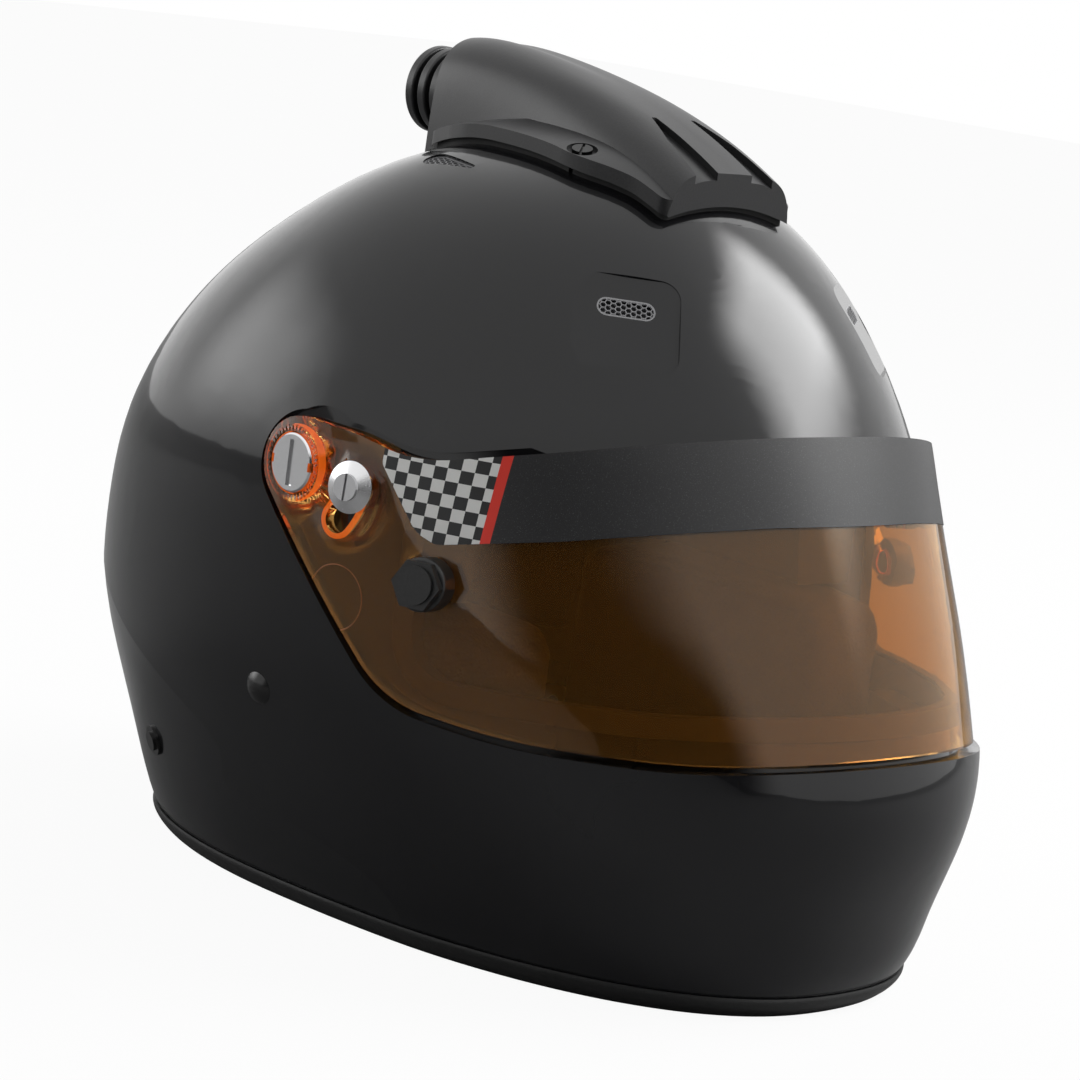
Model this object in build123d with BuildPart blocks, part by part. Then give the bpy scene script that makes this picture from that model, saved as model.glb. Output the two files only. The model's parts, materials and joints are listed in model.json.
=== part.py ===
from build123d import *
import math
import os

os.makedirs("parts", exist_ok=True)

# Auto racing helmet, millimetres. The origin is at the middle of the base, on the
# surface that the helmet rests on. +Z is up, the face looks along -Y, +X is the wearer's left.

# Overall shell
shell_height = 272.0
half_length = 181.0
half_width = 130.0
waist_y = 12.5
shell_wall = 3.0
overrun = 12.0
fit_gap = 0.3
pin_gap = 0.06
outline_steps = 32

# Each row is a level section of the shell: height as a share of shell_height, reach to the
# front and to the rear as shares of half_length, half-width as a share of half_width, and the
# powers that square the outline in front of and behind the waist.
shell_section_shares = [
    (0.000, 0.881, 0.862, 0.746, 2.30, 2.20),
    (0.110, 0.953, 0.923, 0.854, 2.30, 2.20),
    (0.221, 0.997, 0.970, 0.923, 2.25, 2.20),
    (0.331, 0.986, 0.994, 0.977, 2.20, 2.15),
    (0.441, 0.903, 0.997, 1.000, 2.15, 2.10),
    (0.552, 0.793, 0.958, 1.000, 2.10, 2.10),
    (0.662, 0.699, 0.865, 0.962, 2.10, 2.10),
    (0.772, 0.605, 0.727, 0.869, 2.05, 2.05),
    (0.864, 0.500, 0.555, 0.731, 2.00, 2.00),
    (0.938, 0.367, 0.367, 0.538, 2.00, 2.00),
    (0.982, 0.229, 0.180, 0.308, 2.00, 2.00),
    (0.997, 0.120, 0.060, 0.125, 2.00, 2.00),
]
# The tapered lower body: it meets the dome at the ridge that runs round the back.
skirt_section_shares = [
    (0.000, 0.960, 0.776, 0.738, 2.30, 2.20),
    (0.110, 1.032, 0.851, 0.853, 2.30, 2.20),
    (0.221, 1.075, 0.917, 0.925, 2.25, 2.20),
    (0.331, 1.064, 0.975, 0.992, 2.20, 2.15),
    (0.408, 1.010, 1.006, 1.023, 2.15, 2.10),
    (0.460, 0.970, 1.025, 1.054, 2.15, 2.10),
]

# Base edge trim
trim_height = 8.0
trim_bulge = 2.4
trim_wrap = 2.2
trim_gap = 0.15
edge_points = 40
shell_edge_z = 2.4
# Height as a share of trim_height, and swell as a share of trim_bulge.
trim_section_shares = [(0.0, 0.30), (0.18, 0.80), (0.50, 1.0), (0.82, 0.80), (1.0, 0.35)]

# Face shield and its hinge
pivot_y = -6.0
pivot_z = 158.5
shield_half_width = 130.6
shield_thickness = 3.0
shield_reach = 174.5
shield_foot_z = 94.0
shield_slope_share = 0.463
ear_radius = 15.5
boss_radius = 13.0
boss_height = 1.8
inner_boss_radius = 11.0
inner_boss_height = 1.3
notch_size = 3.0
pocket_gap = 2.4
pocket_clearance = 2.4
eyeport_frame = 4.0
shield_turn = 28.0

# Above the ear the pocket opens a little further, where the rising shield passes.
sweep_relief_radius = 19.5
sweep_relief_forward = 7.0
sweep_relief_rise = 0.8

# Each row is a level section of the shield: height as a share of shell_height, half-width as
# a share of shield_half_width, and the powers in front of and behind the waist.
shield_section_shares = [
    (0.221, 0.950, 2.20, 2.20),
    (0.346, 0.979, 2.15, 2.15),
    (0.441, 0.997, 2.15, 2.10),
    (0.552, 1.000, 2.10, 2.10),
    (0.643, 0.992, 2.10, 2.10),
    (0.735, 0.965, 2.05, 2.05),
]
# Side view of the shield from the underside of the ear to its top: distance forward of the
# hinge as a share of shield_reach, height above it as a share of pivot_z, and the corner's
# radius as a share of shield_reach.
shield_edge_shares = [
    (-0.064, -0.068, 0.00),
    (0.266, -0.444, 0.23),
    (0.520, -0.466, 1.70),
    (0.831, -0.451, 1.10),
    (1.117, -0.388, 0.00),
    (1.117, 0.209, 0.00),
    (0.722, 0.209, 0.20),
    (0.498, 0.129, 2.00),
    (0.304, 0.069, 0.28),
    (0.235, 0.066, 0.25),
    (0.126, 0.091, 0.33),
    (0.007, 0.098, 0.00),
]
# The eyeport in the same measures.
eyeport_edge_shares = [
    (0.287, -0.034, 0.04),
    (0.301, -0.391, 0.09),
    (0.716, -0.375, 1.00),
    (1.117, -0.331, 0.00),
    (1.117, 0.136, 0.00),
    (0.734, 0.108, 0.40),
    (0.350, -0.009, 0.17),
]
# Eyeport gasket
gasket_width = 6.0
gasket_lip = 1.4
gasket_gap = 0.5

# Sun strip across the top of the shield, in the same measures as the shield's edge.
strip_thickness = 0.3
strip_gap = 0.05
strip_edge_shares = [
    (0.199, 0.042, 0.02),
    (0.292, -0.082, 0.06),
    (0.335, -0.099, 0.03),
    (0.535, -0.048, 1.00),
    (0.775, 0.030, 0.20),
    (1.117, 0.030, 0.00),
    (1.117, 0.260, 0.00),
    (0.199, 0.260, 0.00),
]

# Hinge screws and their bases
hinge_head_radius = 10.0
hinge_head_height = 2.6
hinge_head_chamfer = 0.6
coin_slot_width = 3.0
coin_slot_length = 15.5
coin_slot_depth = 0.9
hinge_shoulder_radius = 5.0
thread_radius = 2.5
thread_length = 4.6
base_radius = 7.5
base_flange_radius = 10.5
base_flange_height = 1.5

# Shield lock: a fixed post in an arc slot of the shield
lock_arc_radius = 26.0
lock_arc_start = 7.0
slot_half_width = 4.6
slot_rim_width = 1.8
slot_rim_height = 0.6
lock_hub_radius = 3.9
lock_washer_radius = 8.75
lock_washer_height = 1.6
lock_washer_lift = 2.8
lock_head_radius = 4.5
lock_head_height = 1.4
lock_slot_width = 0.9
lock_base_radius = 6.0
lock_base_gap = 1.3
lock_flange_radius = 8.5
lock_shank_radius = 2.0

# Tear-off posts
post_forward_share = 0.339
post_drop_share = 0.180
post_radius = 9.0
post_length = 8.0
post_fillet = 1.2
cap_flat_radius = 7.6
cap_flange_height = 3.2
cap_button_radius = 6.4
cap_button_height = 1.3
post_screw_radius = 2.0
post_screw_head_radius = 4.0
post_screw_head_height = 1.2
post_screw_sink = 1.4
post_screw_bite = 5.0

# Chin strap fixings
rivet_y = 4.7
rivet_z = 78.0
rivet_dome_radius = 5.8
rivet_dome_height = 2.4
rivet_shank_radius = 2.5
rivet_washer_radius = 7.0
rivet_washer_height = 1.2
rivet_spacer_radius = 4.5
hanger_x = 110.5
hanger_half_width = 15.0
hanger_top_radius = 11.0
hanger_drop = 20.0
hanger_thickness = 1.6
hanger_bar_height = 3.6
hanger_slot_height = 3.8
hanger_corner = 2.5
hanger_gap = 0.4

# Head restraint anchors
anchor_y = 79.5
anchor_z = 39.0
anchor_flange_radius = 5.6
anchor_flange_height = 1.0
anchor_button_radius = 3.6
anchor_button_height = 1.0
anchor_thread_radius = 3.0
anchor_nut_radius = 8.0
anchor_nut_height = 4.0

# Vents
forehead_vent_x = 59.0
forehead_vent_z = 225.0
forehead_vent_length = 20.0
forehead_vent_width = 7.0
forehead_recess_length = 37.0
forehead_recess_width = 36.0
forehead_recess_rise = 5.5
forehead_recess_depth = 1.7
forehead_recess_tilt = 3.0
forehead_recess_radius = 7.0
crown_vent_x = 60.0
crown_vent_y = 12.0
crown_vent_length = 24.0
crown_vent_width = 9.0
mesh_thickness = 0.8
mesh_rim = 0.6
crown_mesh_depth = 1.4
mesh_hole_radius = 0.85
mesh_pitch = 2.0

# Top air inlet
scoop_gasket_height = 2.5
flange_thickness = 4.5
flange_half_width = 44.0
flange_rear_y = 58.0
flange_front_y = -66.0
scoop_wall = 3.0
scoop_height = 301.0
# Half of the flange's plan, from the middle of the front: width as a share of
# flange_half_width, distance back from the front edge as a share of the flange's length, and
# the corner's radius as a share of flange_half_width.
flange_plan_shares = [
    (0.73, 0.00, 0.12),
    (0.80, 0.11, 0.60),
    (1.00, 0.27, 0.80),
    (1.00, 0.76, 0.60),
    (0.66, 1.00, 0.40),
]
# Sections of the raised body from its rear face to the front lip: distance from the flange's
# front as a share of its length, half-width as a share of flange_half_width, height as a
# share of scoop_height, and the power that squares the section.
scoop_section_shares = [
    (1.040, 0.545, 0.9965, 4.5),
    (0.850, 0.565, 0.9970, 4.5),
    (0.650, 0.600, 0.9860, 4.2),
    (0.450, 0.655, 0.9690, 4.0),
    (0.280, 0.700, 0.9480, 4.0),
    (0.130, 0.720, 0.9230, 4.0),
    (0.000, 0.700, 0.8960, 4.0),
]
scoop_floor_share = 0.80
channel_depth = 2.6
# The plan of the channel beside the spine: distance out from the middle as a share of
# flange_half_width, distance back from the front edge as a share of the flange's length.
channel_plan_shares = [(0.20, -0.10), (0.50, -0.10), (0.37, 0.15), (0.25, 0.26), (0.20, 0.26)]
channel_radius = 0.8
scoop_screw_x = 36.5
scoop_screw_y = -28.0
scoop_screw_radius = 3.6
scoop_screw_height = 2.0
scoop_shank_radius = 2.0
scoop_pocket_radius = 5.4
scoop_pocket_depth = 1.6
scoop_recess_radius = 8.5
scoop_hollow_front_share = 0.29
well_nut_radius = 4.2
well_nut_flange_radius = 6.2
well_nut_flange_height = 1.2
well_nut_length = 9.0
scoop_gasket_inset = 2.0
inlet_hole_radius = 7.0
inlet_hole_pitch = 22.0

# Hose spigot
spigot_z = 279.5
spigot_radius = 16.0
spigot_bore_radius = 12.6
spigot_groove_depth = 2.2
spigot_groove_width = 2.2
spigot_pitch = 6.4
spigot_rings = 4
spigot_ring_fillet = 0.9
spigot_seat = 3.0

# Lining
liner_depth = 36.0
comfort_depth = 9.0
# The side view of the impact liner and of the comfort liner: distance back from the origin as
# a share of half_length, height as a share of shell_height.
liner_edge_shares = [
    (1.200, 0.228),
    (0.290, 0.228),
    (0.290, 0.437),
    (-0.276, 0.437),
    (-0.276, 0.588),
    (-0.392, 0.592),
    (-0.740, 0.662),
    (-1.200, 0.680),
    (-1.200, 1.100),
    (1.200, 1.100),
]
comfort_edge_shares = [
    (1.200, 0.270),
    (0.320, 0.270),
    (0.320, 0.480),
    (-0.060, 0.480),
    (-0.060, 0.750),
    (-1.200, 0.750),
    (-1.200, 1.100),
    (1.200, 1.100),
]
brow_bottom_z = 184.0
brow_top_z = 203.0
brow_rear_y = -14.0
chin_liner_depth = 22.0
chin_liner_bottom_z = 20.0
chin_liner_top_z = 88.0
chin_liner_rear_y = -88.0
cheek_inner_x = 66.0
cheek_split_x = 88.0
cheek_front_y = -78.0
cheek_rear_y = 46.0
cheek_bottom_z = 28.0
cheek_top_z = 117.0
cheek_radius = 12.0
neck_depth = 24.0
neck_bottom_z = 10.0
neck_top_z = 58.0
neck_front_y = 92.0
soft_gap = 0.5
liner_duct_radius = 6.0

# Chin strap
webbing_width = 24.0
webbing_thickness = 2.0
webbing_bend = 8.0
webbing_gap = 0.5
leg_foot_x = 86.0
long_strap_z = 13.0
ring_bar_z = 19.6
ring_wire_radius = 1.8
ring_half_width = 17.5
ring_drop = 13.0
ring_corner = 5.0
ring_x = 40.0
ring_pitch = 5.5
strap_tail = 24.0
strap_channel_half = 31.0
strap_channel_gap = 3.0


def level_outline(half, front, rear, fore_power, aft_power):
    """Points of a level outline, from the middle of the back round by the wearer's left."""
    points = []
    for step in range(outline_steps):
        turn = math.radians(90 - 360 * step / outline_steps)
        across = abs(math.cos(turn)) / half
        if math.sin(turn) < 0:
            along, power = abs(math.sin(turn)) / (front + waist_y), fore_power
        else:
            along, power = abs(math.sin(turn)) / (rear - waist_y), aft_power
        radius = (across**power + along**power) ** (-1 / power)
        points.append((radius * math.cos(turn), waist_y + radius * math.sin(turn)))
    return points


def spline_face(outline, plane):
    """The face on a plane inside a smooth closed curve, with its knots evenly spaced."""
    knots = [step / len(outline) for step in range(len(outline) + 1)]
    with BuildSketch(plane) as section:
        with BuildLine():
            add(Edge.make_spline(outline, periodic=True, parameters=knots))
        make_face()
    return section.sketch.face()


def level_section(z, half, front, rear, fore_power, aft_power):
    """One closed level section for a loft."""
    outline = level_outline(half, front, rear, fore_power, aft_power)
    return spline_face(outline, Plane.XY.offset(z))


def helmet_loft(rows, inset):
    """Loft through a table of sections, drawn in by inset on every side."""
    sections = []
    for z_share, front, rear, half, fore_power, aft_power in rows:
        section = level_section(
            z_share * (shell_height - inset),
            half * (half_width - inset),
            front * (half_length - inset),
            rear * (half_length - inset),
            fore_power,
            aft_power,
        )
        sections.append(section)
    loft(sections)


def lining_form(inset):
    """A smooth form inside both the dome and the skirt, drawn in by inset."""
    rows = list(shell_section_shares)
    for index, skirt_row in enumerate(skirt_section_shares):
        z_share, front, rear, half, fore_power, aft_power = rows[index]
        if z_share < skirt_section_shares[-1][0]:
            rows[index] = (z_share, front, min(rear, skirt_row[2]), half, fore_power, aft_power)
    with BuildPart() as form:
        helmet_loft(rows, inset)
    return form.part


def shield_form(inset):
    """The solid form inside the shield's outer face, drawn in by inset."""
    sections = []
    for z_share, half, fore_power, aft_power in shield_section_shares:
        z = z_share * shell_height
        front = shield_reach - shield_slope_share * (z - shield_foot_z) - inset
        half_at_z = half * shield_half_width - inset
        sections.append(level_section(z, half_at_z, front, half_length, fore_power, aft_power))
    with BuildPart() as form:
        loft(sections)
    return form.part


def side_face(rows):
    """A closed side-view face from rows of forward, up and corner radius shares."""
    points = [(pivot_y - forward * shield_reach, pivot_z + up * pivot_z) for forward, up, _ in rows]
    radii = [radius * shield_reach for _, _, radius in rows]
    with BuildLine() as edge:
        FilletPolyline(points, radius=radii, close=True)
    make_face(edge.edges())


def side_prism(rows, grow=0.0, ear=False):
    """A side-view face, grown by an amount, carried through the helmet from side to side."""
    with BuildPart() as prism:
        with BuildSketch(Plane.YZ):
            side_face(rows)
            if ear:
                with Locations((pivot_y, pivot_z)):
                    Circle(ear_radius)
            if grow:
                offset(amount=grow)
        extrude(amount=half_width + 2 * overrun, both=True)
    return prism.part


def block(x_low, x_high, y_low, y_high, z_low, z_high):
    """A plain block between limits."""
    with BuildPart() as solid:
        with Locations(((x_low + x_high) / 2, (y_low + y_high) / 2, (z_low + z_high) / 2)):
            Box(x_high - x_low, y_high - y_low, z_high - z_low)
    return solid.part


def skin_plane(solid, start, direction):
    """The plane that touches a solid where a line from start first meets it."""
    line = Axis(start, direction)
    hits = [hit for face in solid.faces() for hit in face.find_intersection_points(line)]
    point, normal = min(hits, key=lambda hit: (hit[0] - Vector(*start)).length)
    if normal.dot(line.direction) > 0:
        normal = -normal
    return Plane(origin=point, x_dir=normal.cross(Vector(0, 0, 1)), z_dir=normal)


def plan_prism(points, radii):
    """A plan outline carried up through the helmet."""
    with BuildPart() as prism:
        with BuildSketch(Plane.XY):
            with BuildLine() as edge:
                FilletPolyline(points, radius=radii, close=True)
            make_face(edge.edges())
        extrude(amount=scoop_height + overrun)
    return prism.part


def side_block(rows):
    """A side-view outline of straight edges, carried through from side to side."""
    with BuildPart() as prism:
        with BuildSketch(Plane.YZ):
            with BuildLine():
                Polyline([(y * half_length, z * shell_height) for y, z in rows], close=True)
            make_face()
        extrude(amount=reach_x, both=True)
    return prism.part


def disc(plane, radius, bottom, top):
    """A round disc between two heights over a plane."""
    with BuildPart() as solid:
        with Locations(plane.offset(bottom)):
            Cylinder(radius, top - bottom, align=(Align.CENTER, Align.CENTER, Align.MIN))
    return solid.part


reach_x = half_width + 2 * overrun
reach_y = half_length + 2 * overrun

# Forms that several pieces share
with BuildPart() as dome:
    helmet_loft(shell_section_shares, 0)

with BuildPart() as skirt:
    helmet_loft(skirt_section_shares, 0)

with BuildPart() as outside_skirt:
    with Locations((0, 0, -overrun)):
        Box(
            2 * reach_x,
            2 * reach_y,
            skirt_section_shares[-1][0] * shell_height + overrun,
            align=(Align.CENTER, Align.CENTER, Align.MIN),
        )
    add(skirt.part, mode=Mode.SUBTRACT)

inner_form = lining_form(shell_wall)
shield_outer = shield_form(0)
shield_inner = shield_form(shield_thickness)
pocket_floor = shield_form(shield_thickness + pocket_clearance)
pocket_back = shield_form(shield_thickness + pocket_clearance + shell_wall)
shield_prism = side_prism(shield_edge_shares, ear=True)
pocket_prism = side_prism(shield_edge_shares, pocket_gap, ear=True)
frame_prism = side_prism(shield_edge_shares, pocket_gap + eyeport_frame, ear=True)
eyeport_prism = side_prism(eyeport_edge_shares)

# Planes that the fittings of the wearer's left side stand on
hinge_plane = skin_plane(shield_outer, (reach_x, pivot_y, pivot_z), (-1, 0, 0))
hinge_x = hinge_plane.origin.X
lock_angle = math.radians(lock_arc_start)
lock_y = pivot_y - lock_arc_radius * math.cos(lock_angle)
lock_z = pivot_z - lock_arc_radius * math.sin(lock_angle)
lock_plane = skin_plane(shield_outer, (reach_x, lock_y, lock_z), (-1, 0, 0))
post_y = pivot_y - post_forward_share * shield_reach
post_z = pivot_z - post_drop_share * pivot_z
post_plane = skin_plane(shield_outer, (reach_x, post_y, post_z), (-1, 0, 0))
rivet_plane = skin_plane(dome.part, (reach_x, rivet_y, rivet_z), (-1, 0, 0))
anchor_plane = skin_plane(skirt.part, (reach_x, anchor_y, anchor_z), (-1, 0, 0))
forehead_plane = skin_plane(
    dome.part, (forehead_vent_x, -reach_y, forehead_vent_z), (0, 1, 0)
)
crown_plane = skin_plane(dome.part, (crown_vent_x, crown_vent_y, scoop_height), (0, 0, -1))
scoop_plane = skin_plane(dome.part, (scoop_screw_x, scoop_screw_y, scoop_height), (0, 0, -1))


# Heights along the hinge, measured out from the middle of the helmet
hinge_floor_x = hinge_x - fit_gap
hinge_seat_x = hinge_x - shield_thickness - inner_boss_height
base_top_x = hinge_seat_x - fit_gap
floor_x = skin_plane(pocket_floor, (reach_x, pivot_y, pivot_z), (-1, 0, 0)).origin.X
wall_x = floor_x - shell_wall
inner_rivet_x = skin_plane(inner_form, (reach_x, rivet_y, rivet_z), (-1, 0, 0)).origin.X


def side_plane(x, y, z):
    """The plane at x, over the point (y, z) of the side view, that faces the wearer's left."""
    return Plane(origin=(x, y, z), x_dir=(0, 1, 0), z_dir=(1, 0, 0))


def lock_slot(grow):
    """The arc slot of the shield, grown by an amount, carried through from side to side."""
    with BuildPart() as slot:
        with BuildSketch(Plane.YZ):
            with BuildLine() as line:
                arc = CenterArc(
                    (pivot_y, pivot_z), lock_arc_radius, 180 + lock_arc_start, shield_turn
                )
            SlotArc(arc, 2 * (slot_half_width + grow))
        extrude(amount=reach_x, both=True)
    return slot.part


def teardrop_outline(grow):
    """The crown vent's outline, blunt at the rear and narrow in front."""
    with Locations((-(crown_vent_length - crown_vent_width) / 2, 0)):
        Circle(crown_vent_width / 2 + grow)
    with Locations((crown_vent_length / 2 - crown_vent_width / 6, 0)):
        Circle(crown_vent_width / 6 + grow)
    make_hull()


def slot_outline(grow):
    """The forehead vent's rounded slot."""
    SlotOverall(forehead_vent_length + 2 * grow, forehead_vent_width + 2 * grow)


def vent_form(outline, plane, bottom, top):
    """A vent's outline carried between two heights over its plane."""
    with BuildPart() as solid:
        with BuildSketch(plane.offset(bottom)):
            add(outline_sketch(outline, 0))
        extrude(amount=top - bottom)
    return solid.part


def outline_sketch(outline, grow):
    """A vent's outline, grown by an amount, as a flat sketch at the origin."""
    with BuildSketch() as sketch:
        outline(grow)
    return sketch.sketch


def mesh_plate(outline, plane, bottom):
    """A honeycomb mesh plate inside a vent's outline."""
    columns = round(forehead_vent_length * 2 / mesh_pitch)
    with BuildSketch() as holes:
        with HexLocations(mesh_pitch / 2, columns, columns):
            RegularPolygon(mesh_hole_radius, 6, major_radius=False)
        add(outline_sketch(outline, -mesh_rim), mode=Mode.INTERSECT)
    with BuildPart() as plate:
        with BuildSketch(plane.offset(bottom)):
            add(outline_sketch(outline, 0))
            add(holes.sketch, mode=Mode.SUBTRACT)
        extrude(amount=mesh_thickness)
    return plate.part


# Outer shell
with BuildPart() as sweep_relief:
    with BuildSketch(Plane.YZ):
        with Locations((pivot_y - sweep_relief_forward, pivot_z + sweep_relief_rise)):
            Circle(sweep_relief_radius)
    extrude(amount=reach_x, both=True)
    split(bisect_by=Plane.XY.offset(pivot_z), keep=Keep.TOP)

with BuildPart() as pocket:
    add(pocket_prism)
    add(sweep_relief.part)
    add(pocket_floor, mode=Mode.SUBTRACT)

with BuildPart() as eyeport_frame_form:
    add(frame_prism)
    add(pocket_back, mode=Mode.SUBTRACT)

with BuildPart() as cavity:
    add(inner_form)
    add(eyeport_frame_form.part, mode=Mode.SUBTRACT)

forehead_floor = forehead_plane.rotated((forehead_recess_tilt, 0, 0)).offset(-forehead_recess_depth)

with BuildPart() as skin_holes:
    add(disc(side_plane(inner_rivet_x, rivet_y, rivet_z), rivet_shank_radius, -overrun, overrun))
    add(disc(anchor_plane, anchor_thread_radius, -overrun, overrun))
    mirror(about=Plane.YZ)

with BuildPart() as fitting_holes:
    add(disc(side_plane(wall_x, pivot_y, pivot_z), base_radius, -overrun, overrun))
    add(disc(lock_plane, lock_base_radius, -overrun, 0))
    add(vent_form(slot_outline, forehead_floor, -overrun, overrun))
    add(vent_form(teardrop_outline, crown_plane, -overrun, overrun))
    add(disc(scoop_plane, well_nut_radius, -overrun, overrun))
    with BuildSketch(forehead_floor):
        with Locations((0, forehead_recess_rise)):
            RectangleRounded(forehead_recess_length, forehead_recess_width, forehead_recess_radius)
    extrude(amount=overrun)
    mirror(about=Plane.YZ)
    with Locations((0, 0, shell_height)):
        with GridLocations(0, inlet_hole_pitch, 1, 3):
            Cylinder(inlet_hole_radius, 2 * overrun)

with BuildPart() as outer_shell:
    add(dome.part)
    add(skin_holes.part, mode=Mode.SUBTRACT)
    add(cavity.part, mode=Mode.SUBTRACT)
    add(outside_skirt.part, mode=Mode.SUBTRACT)
    add(pocket.part, mode=Mode.SUBTRACT)
    add(eyeport_prism, mode=Mode.SUBTRACT)
    split(bisect_by=Plane.XY.offset(shell_edge_z), keep=Keep.TOP)
    add(fitting_holes.part, mode=Mode.SUBTRACT)

outer_shell.part.label = "outer_shell"
export_step(outer_shell.part, "parts/outer_shell.step")


# Base edge trim: a rubber channel over the shell's lower edge
def edge_section(z, outset):
    """The outline of the dome and the skirt at a height, whichever lies further in, grown by outset."""
    centre = Vector(0, waist_y, max(z, trim_gap))
    points = []
    for index in range(edge_points):
        out = Vector(1, 0, 0).rotate(Axis.Z, 360 * index / edge_points)
        reaches = []
        for form in (dome.part, skirt.part):
            hits = [hit for face in form.faces() for hit in face.find_intersection_points(Axis(centre, out))]
            reaches.append(max((point - centre).dot(out) for point, _ in hits))
        spot = centre + out * (min(reaches) + outset)
        points.append((spot.X, spot.Y))
    return spline_face(points, Plane.XY.offset(z))


with BuildPart() as edge_groove:
    loft([edge_section(shell_edge_z + rise * trim_height, trim_gap) for rise in (0.0, 0.5, 1.0)])
    add(lining_form(shell_wall + trim_gap), mode=Mode.SUBTRACT)

with BuildPart() as base_edge_trim:
    loft([edge_section(z * trim_height, swell * trim_bulge) for z, swell in trim_section_shares])
    add(lining_form(shell_wall + trim_wrap), mode=Mode.SUBTRACT)
    add(edge_groove.part, mode=Mode.SUBTRACT)

base_edge_trim.part.label = "base_edge_trim"
export_step(base_edge_trim.part, "parts/base_edge_trim.step")

# Face shield with its hinge bosses, hinge holes and lock slots
with BuildPart() as shield_boss:
    add(disc(side_plane(hinge_seat_x, pivot_y, pivot_z), inner_boss_radius, 0, shield_thickness))
    add(
        disc(
            side_plane(hinge_floor_x, pivot_y, pivot_z),
            boss_radius,
            -shield_thickness / 2,
            boss_height + fit_gap,
        )
    )
    mirror(about=Plane.YZ)

with BuildPart() as shield_cuts:
    add(disc(side_plane(hinge_floor_x, pivot_y, pivot_z), hinge_head_radius + fit_gap, 0, overrun))
    add(
        disc(
            side_plane(hinge_seat_x, pivot_y, pivot_z),
            hinge_shoulder_radius + pin_gap,
            -overrun,
            overrun,
        )
    )
    add(disc(post_plane, post_screw_radius, -overrun, overrun))
    add(
        disc(
            post_plane,
            post_screw_head_radius + fit_gap,
            -overrun,
            post_screw_sink - shield_thickness,
        )
    )
    mirror(about=Plane.YZ)

with BuildPart() as slot_rim:
    add(lock_slot(slot_rim_width))
    add(shield_form(-slot_rim_height), mode=Mode.INTERSECT)
    add(shield_form(shield_thickness / 2), mode=Mode.SUBTRACT)

with BuildPart() as face_shield:
    add(shield_prism)
    add(shield_outer, mode=Mode.INTERSECT)
    add(shield_inner, mode=Mode.SUBTRACT)
    add(shield_boss.part)
    add(slot_rim.part)
    add(shield_cuts.part, mode=Mode.SUBTRACT)
    add(lock_slot(0), mode=Mode.SUBTRACT)

face_shield.part.label = "face_shield"
export_step(face_shield.part, "parts/face_shield.step")

# Sun strip across the top of the shield
with BuildPart() as sun_strip:
    add(side_prism(strip_edge_shares))
    add(shield_prism, mode=Mode.INTERSECT)
    add(shield_form(-strip_gap - strip_thickness), mode=Mode.INTERSECT)
    add(shield_form(-strip_gap), mode=Mode.SUBTRACT)

sun_strip.part.label = "sun_strip"
export_step(sun_strip.part, "parts/sun_strip.step")

# Eyeport gasket: a flat rubber band on the pocket floor with a web inside the opening
with BuildPart() as gasket_web:
    add(eyeport_prism)
    add(pocket_floor, mode=Mode.INTERSECT)
    add(pocket_back, mode=Mode.SUBTRACT)

with BuildPart() as eyeport_gasket:
    add(side_prism(eyeport_edge_shares, gasket_width))
    add(shield_form(shield_thickness + gasket_gap), mode=Mode.INTERSECT)
    add(pocket_floor, mode=Mode.SUBTRACT)
    add(gasket_web.part)
    add(side_prism(eyeport_edge_shares, -gasket_lip), mode=Mode.SUBTRACT)

eyeport_gasket.part.label = "eyeport_gasket"
export_step(eyeport_gasket.part, "parts/eyeport_gasket.step")

# Hinge bases in the shell
with BuildPart() as pivot_bases:
    base_plane = side_plane(wall_x, pivot_y, pivot_z)
    add(disc(base_plane, base_flange_radius, -base_flange_height, base_flange_height))
    add(pocket_back, mode=Mode.INTERSECT)
    add(disc(base_plane, base_radius, -base_flange_height, base_top_x - wall_x))
    add(disc(base_plane, thread_radius, -overrun, overrun), mode=Mode.SUBTRACT)
    mirror(about=Plane.YZ)

pivot_bases.part.label = "pivot_bases"
export_step(pivot_bases.part, "parts/pivot_bases.step")

# Hinge screws with a coin slot and two rim notches
with BuildPart() as pivot_screws:
    head_plane = side_plane(hinge_x, pivot_y, pivot_z)
    add(disc(head_plane, hinge_head_radius, 0, hinge_head_height))
    chamfer(edges().filter_by(GeomType.CIRCLE).sort_by(Axis.X)[-1], length=hinge_head_chamfer)
    with Locations(head_plane.offset(hinge_head_height)):
        Box(coin_slot_width, coin_slot_length, 2 * coin_slot_depth, mode=Mode.SUBTRACT)
        with GridLocations(2 * hinge_head_radius, 0, 2, 1):
            Box(notch_size, notch_size, overrun, mode=Mode.SUBTRACT)
    add(disc(head_plane, hinge_shoulder_radius, base_top_x - hinge_x, 0))
    add(disc(head_plane, thread_radius, base_top_x - hinge_x - thread_length, 0))
    mirror(about=Plane.YZ)

pivot_screws.part.label = "pivot_screws"
export_step(pivot_screws.part, "parts/pivot_screws.step")

# Shield lock: base in the shell, domed washer over the slot, slotted screw
lock_base_top = -shield_thickness - lock_base_gap
lock_wall = -shield_thickness - pocket_clearance - shell_wall
lock_washer_top = lock_washer_lift + lock_washer_height
with BuildPart() as lock_bases:
    add(disc(lock_plane, lock_flange_radius, lock_wall - base_flange_height, lock_base_top))
    add(pocket_back, mode=Mode.INTERSECT)
    add(disc(lock_plane, lock_base_radius, lock_wall - base_flange_height, lock_base_top))
    add(disc(lock_plane, lock_hub_radius, lock_base_top, lock_washer_lift))
    add(disc(lock_plane, lock_shank_radius, -overrun, overrun), mode=Mode.SUBTRACT)
    mirror(about=Plane.YZ)

lock_bases.part.label = "lock_bases"
export_step(lock_bases.part, "parts/lock_bases.step")

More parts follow.
